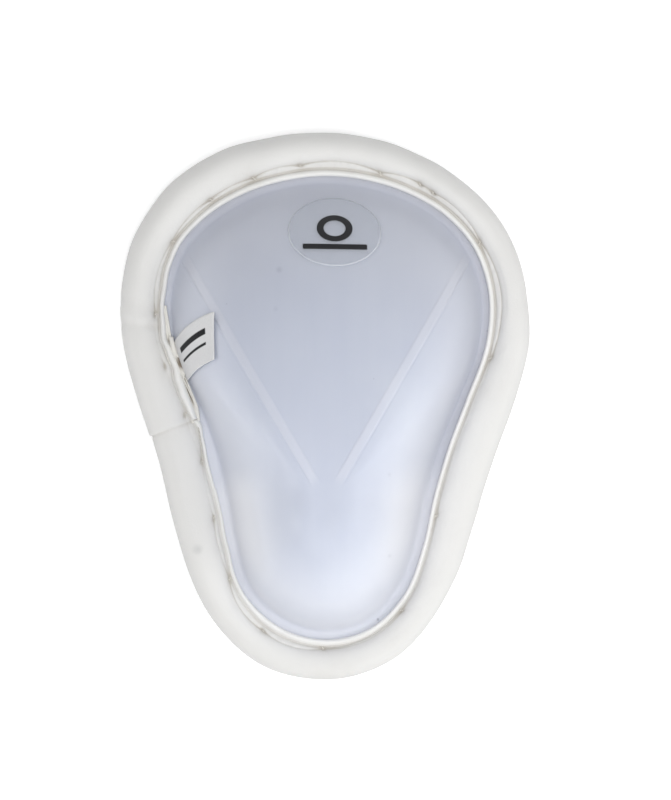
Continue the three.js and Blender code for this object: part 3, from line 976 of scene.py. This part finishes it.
# %% The flap
FLAP_EDGE = np.array([
    # share, free edge in mm out from the lip
    (0.712, -1.5), (0.7166, -2.0), (0.728, -2.75), (0.7358, -2.7), (0.741, -2.55),
    (0.7484, -2.6), (0.7609, -2.9), (0.7698, -2.55), (0.7805, -2.0), (0.7911, -1.5),
    (0.7983, -1.12),
])
FLAP_COLUMNS, FLAP_ROWS = 120, 26
FLAP_TUCK = 0.8
FLAP_ROLL, FLAP_EDGE_DROP = 0.55, 0.35
SLIT_SHARES = (0.718, 0.733), (0.768, 0.778)
SLIT_OUT, SLIT_REACH, SLIT_SHADE = -0.28, 0.33, 1.5


def thicken_down(bm, thickness):
    """Grows a copy of an upper face below it, and closes the edge between the two."""
    face_up(bm)
    bm.normal_update()
    normals = {vert.co.copy().freeze(): vert.normal.copy() for vert in bm.verts}
    grown = bmesh.ops.extrude_face_region(bm, geom=bm.faces[:], use_keep_orig=True)
    for part in grown["geom"]:
        if isinstance(part, bmesh.types.BMVert):
            part.co -= normals[part.co.copy().freeze()] * thickness * MM
    bmesh.ops.recalc_face_normals(bm, faces=bm.faces)


def thin_sheet(places, thickness, **measures):
    """A sheet of cloth or film: its upper face is drawn and the rest is grown below it."""
    bm = lay_grid(places, **measures)
    bmesh.ops.remove_doubles(bm, verts=bm.verts, dist=MERGE)
    thicken_down(bm, thickness)
    return bm


flap_share = np.linspace(FLAP_EDGE[0, 0], FLAP_EDGE[-1, 0], FLAP_COLUMNS)
flap_edge = np.interp(flap_share, *FLAP_EDGE.T)
flap_edge = np.convolve(np.pad(flap_edge, 4, mode="edge"), np.ones(9) / 9, mode="valid")
slit_opens, slit_closes = (ease(flap_share, *shares) for shares in SLIT_SHARES)
flap_rows, flap_shade = [], []
for part in np.linspace(0, 1, FLAP_ROWS):
    out = FLAP_TUCK + (flap_edge - FLAP_TUCK) * part
    beside_bead = hump(out - hem_edges(flap_share)[0] - SLIT_OUT, SLIT_REACH)
    # The flap is painted dark along the slit beside the bead: painted shade, with some dirt
    flap_shade.append(0.1 + SLIT_SHADE * slit_opens * (1 - slit_closes) * beside_bead)
    rolled = FLAP_ROLL * ease(part, 0.45, 0.85) - FLAP_EDGE_DROP * ease(part, 0.9, 1.0)
    lift = CLEARANCE * 0.5 + FLAP_THICKNESS + rolled
    flap_rows.append(off_cup(beside_lip(flap_share, out), lift))
flap_bm = thin_sheet(np.stack(flap_rows), FLAP_THICKNESS, fold=np.stack(flap_shade))
flap_finish = leatherette("flap_leatherette", (0.79, 0.775, 0.73), (0.16, 0.12, 0.08), 1.2)
flap = finish_piece("flap", flap_bm, flap_finish, "flap_leatherette", "under_flap")

# %% The label
# The label's two long edges in mm, from under the flap to its free end
LABEL_UPPER = np.array([(-42.6, 15.6), (-41.2, 18.2), (-39.6, 19.9), (-37.5, 21.6), (-34.9, 23.4),
                        (-32.2, 24.6), (-29.8, 25.1)])
LABEL_LOWER = np.array([(-39.4, 5.1), (-37.6, 7.3), (-36.3, 8.8), (-35.0, 9.9), (-33.4, 11.0),
                        (-31.7, 12.0), (-29.8, 12.7)])
TAG_THICKNESS = 0.4


def along_edge(edge, part):
    """Points on a smooth line through an edge's points."""
    knots = np.linspace(0, 1, len(edge))
    return np.stack([np.polyval(np.polyfit(knots, column, 3), part) for column in edge.T], axis=-1)


down = np.linspace(0, 1, 48)
side = np.linspace(0, 1, 40)
upper_edge, lower_edge = along_edge(LABEL_UPPER, down), along_edge(LABEL_LOWER, down)
label_flat = lower_edge[:, None] + (upper_edge - lower_edge)[:, None] * side[None, :, None]
label_flat[..., 0] -= 0.35 * down[:, None] ** 2 * np.sin(math.pi * side)[None, :]
curl = 0.5 * down[:, None] ** 3 * (side[None, :] - 0.45) ** 2 * 4
under_the_flap = -0.35 * (1 - ease(down, 0.05, 0.25))[:, None]
wave = 0.10 * np.sin(down[:, None] * 5 + side[None, :] * 4)
tag_places = off_cup(label_flat, CLEARANCE + TAG_THICKNESS + curl + wave + under_the_flap)
tag_bm = thin_sheet(tag_places, TAG_THICKNESS, down=down[:, None], side=side[None, :])

# %% [markdown]
# The label is woven: two sets of threads cross each other, so its surface is a fine chequer of
# small humps. Where the real one has lettering, this one has two plain woven bars.

# %% Woven label
def woven_label():
    finish = Finish("label_fabric", IOR=1.3, Sheen_Weight=0.05, Sheen_Roughness=0.5)
    along, across = finish.attribute("down"), finish.attribute("side")
    warp = (along * 220.0).wave()
    weft = (across * 190.0).wave()
    weave = warp * weft
    bars = 0
    for middle, half in ((0.67, 0.065), (0.41, 0.03)):
        bar = 1 - abs(across - middle).smooth(half - 0.012, half + 0.012)
        bars = bars + bar * along.smooth(0.24, 0.26) * (1 - along.smooth(0.83, 0.85))
    fray = finish.grain(finish.place(), 1800.0, detail=3.0)
    tone = finish.blend(fray, (0.72, 0.72, 0.73), (0.80, 0.80, 0.80))
    tone = finish.blend(bars, tone, (0.012, 0.012, 0.014))
    height = weave * (0.03 * MM) + fray * (0.04 * MM)
    finish.wear(Base_Color=tone, Roughness=0.8 + fray * 0.15, Normal=finish.bump(height))
    return finish


label = finish_piece("label", tag_bm, woven_label(), "label_fabric", "size_tag")

# %% The sticker
STICKER_RADIUS = 12.7
STICKER_THICKNESS = 0.3
STICKER_GAP, STICKER_EDGE_DROP = 0.12, 0.2
STICKER_MIDDLE = np.array((0.048 * OPENING_WIDTH / 2, 0.751 * OPENING_LENGTH / 2))
STICKER_RINGS, STICKER_SIDES = 24, 120

here = off_cup(STICKER_MIDDLE[None, :], np.zeros(1))[0]
lifted = off_cup(STICKER_MIDDLE[None, :], np.ones(1))[0]
tilt = (lifted - here) / MM
downhill = math.atan2(tilt[1], tilt[0])
around = np.linspace(0, 2 * math.pi, STICKER_SIDES + 1)


def on_sticker(radius):
    down_slope = radius * np.cos(around) * tilt[2]
    aside = radius * np.sin(around)
    turn_x = down_slope * math.cos(downhill) - aside * math.sin(downhill)
    turn_y = down_slope * math.sin(downhill) + aside * math.cos(downhill)
    return STICKER_MIDDLE + np.stack([turn_x, turn_y], axis=-1)


sticker_rows, sticker_across, sticker_up = [], [], []
for part in np.linspace(0, 1, STICKER_RINGS + 1):
    radius = part * STICKER_RADIUS
    edge_drop = STICKER_EDGE_DROP * ease(part, 0.97, 1.0)
    lift = np.full(around.shape, STICKER_THICKNESS + STICKER_GAP - edge_drop)
    sticker_rows.append(off_cup(on_sticker(radius), lift))
    sticker_across.append(radius * np.cos(around + downhill))
    sticker_up.append(radius * np.sin(around + downhill))
sticker_bm = thin_sheet(np.stack(sticker_rows), STICKER_THICKNESS * 0.5,
                        across=np.stack(sticker_across), up=np.stack(sticker_up))


def clear_film():
    finish = Finish("sticker_film", IOR=1.5)
    place = finish.place()
    across, up = finish.attribute("across"), finish.attribute("up")
    away = (across ** 2.0 + (up - 1.2) ** 2.0) ** 0.5
    ring = 1 - abs(away - 3.9).smooth(0.85, 1.05)
    bar = (1 - abs(across).smooth(8.6, 8.8)) * (1 - abs(up + 5.6).smooth(0.85, 1.0))
    ink = (ring + bar).smooth(0.2, 0.8)
    worn = finish.grain(place, 900.0, detail=4.0)
    tone = finish.blend(ink, (0.74, 0.77, 0.83), (0.015, 0.015, 0.018))
    edge = ((across ** 2.0 + up ** 2.0) ** 0.5).smooth(12.1, 12.6)
    finish.wear(
        Base_Color=tone,
        Roughness=0.16 + worn * 0.1 + ink * 0.15,
        Alpha=0.22 + edge * 0.45 + ink * (0.78 - worn * 0.1),
        Normal=finish.bump(worn * (0.01 * MM)),
    )
    return finish


finish_piece("sticker", sticker_bm, clear_film(), "sticker_film", "round_sticker")

# %% [markdown]
# ## Hand stitches
# The thread is thick and pale. Each stitch shows as a short slanting loop that goes down into
# its own dimple at both ends. A ring spun through half a turn makes such a loop, and it is then
# turned along the lip and set down in its dimple. At the join a longer thread lies on the hem.

# %% Thread
THREAD_RADIUS = 0.24
LOOP_RADIUS = 0.62
LOOP_STRETCH, LOOP_SLANT, LOOP_SINKS = (1.25, 1, 0.55, 1), 0.6, 0.12
stitch_bm = bmesh.new()


def add_loop(place, heading):
    made = bmesh.ops.create_circle(
        stitch_bm, segments=8, radius=THREAD_RADIUS * MM,
        matrix=Matrix.Translation((LOOP_RADIUS * MM, 0, 0)),
    )
    ring = made["verts"] + list({edge for vert in made["verts"] for edge in vert.link_edges})
    bmesh.ops.spin(
        stitch_bm, geom=ring, cent=(0, 0, 0), axis=(0, 1, 0), angle=-math.pi, steps=12,
        use_merge=False,
    )
    loop = set(made["verts"])
    frontier = list(made["verts"])
    while frontier:
        vert = frontier.pop()
        for edge in vert.link_edges:
            other = edge.other_vert(vert)
            if other not in loop:
                loop.add(other)
                frontier.append(other)
    turn = Matrix.Translation(place) @ Matrix.Rotation(heading + LOOP_SLANT, 4, "Z")
    flatten = Matrix.Diagonal(LOOP_STRETCH)
    bmesh.ops.transform(stitch_bm, matrix=turn @ flatten, verts=list(loop))


for stitch_share, stitch_out in STITCHES[:, :2]:
    one = np.array([stitch_share])
    height, fold, dimple, line = top_of_pad(one, np.array([stitch_out]))
    depth = np.maximum(height - fold - dimple, SLOT_TOP + LEAST_SKIN)
    place = world(beside_lip(one, np.array([stitch_out])), depth - LOOP_SINKS)[0]
    out = out_of_cup(one)[0]
    add_loop(place, math.atan2(out[1], out[0]))
close_up(stitch_bm)


def cotton():
    finish = Finish("sewing_thread", IOR=1.45, Sheen_Weight=0.3)
    place = finish.place()
    twist = finish.node("ShaderNodeTexWave", {"bands_direction": "DIAGONAL"}, place,
                        Scale=900.0, Distortion=2.0)
    tone = finish.blend(twist, (0.50, 0.48, 0.44), (0.68, 0.66, 0.61))
    finish.wear(Base_Color=tone, Roughness=0.75 + twist * 0.1,
                Normal=finish.bump(twist * (0.05 * MM)))
    return finish


thread_finish = cotton()
finish_piece("stitches", stitch_bm, thread_finish, "label_fabric")


# %% The thread at the join
def tube(path, radius, sides=10):
    """A thread along a path, as a grid rolled round it."""
    ahead = np.gradient(path, axis=0)
    ahead /= np.linalg.norm(ahead, axis=1, keepdims=True)
    across = np.cross(ahead, (0, 0, 1))
    across /= np.linalg.norm(across, axis=1, keepdims=True)
    over = np.cross(across, ahead)
    rows = [path + (across * math.cos(angle) + over * math.sin(angle)) * radius * MM
            for angle in np.linspace(0, 2 * math.pi, sides + 1)]
    return lay_grid(np.stack(rows))


tail_share = np.linspace(0.7094, 0.6830, 40)
tail_part = np.linspace(0, 1, 40)
tail_out = -0.5 + 1.6 * tail_part
tail_up = FLANGE_TOP + 0.55 + 1.55 * np.sin(math.pi * tail_part * 0.92) ** 0.5
tail_path = world(beside_lip(tail_share, tail_out), tail_up)
tail_bm = tube(tail_path, 0.2)
close_up(tail_bm)
tail = finish_piece("join_thread", tail_bm, thread_finish, "label_fabric")
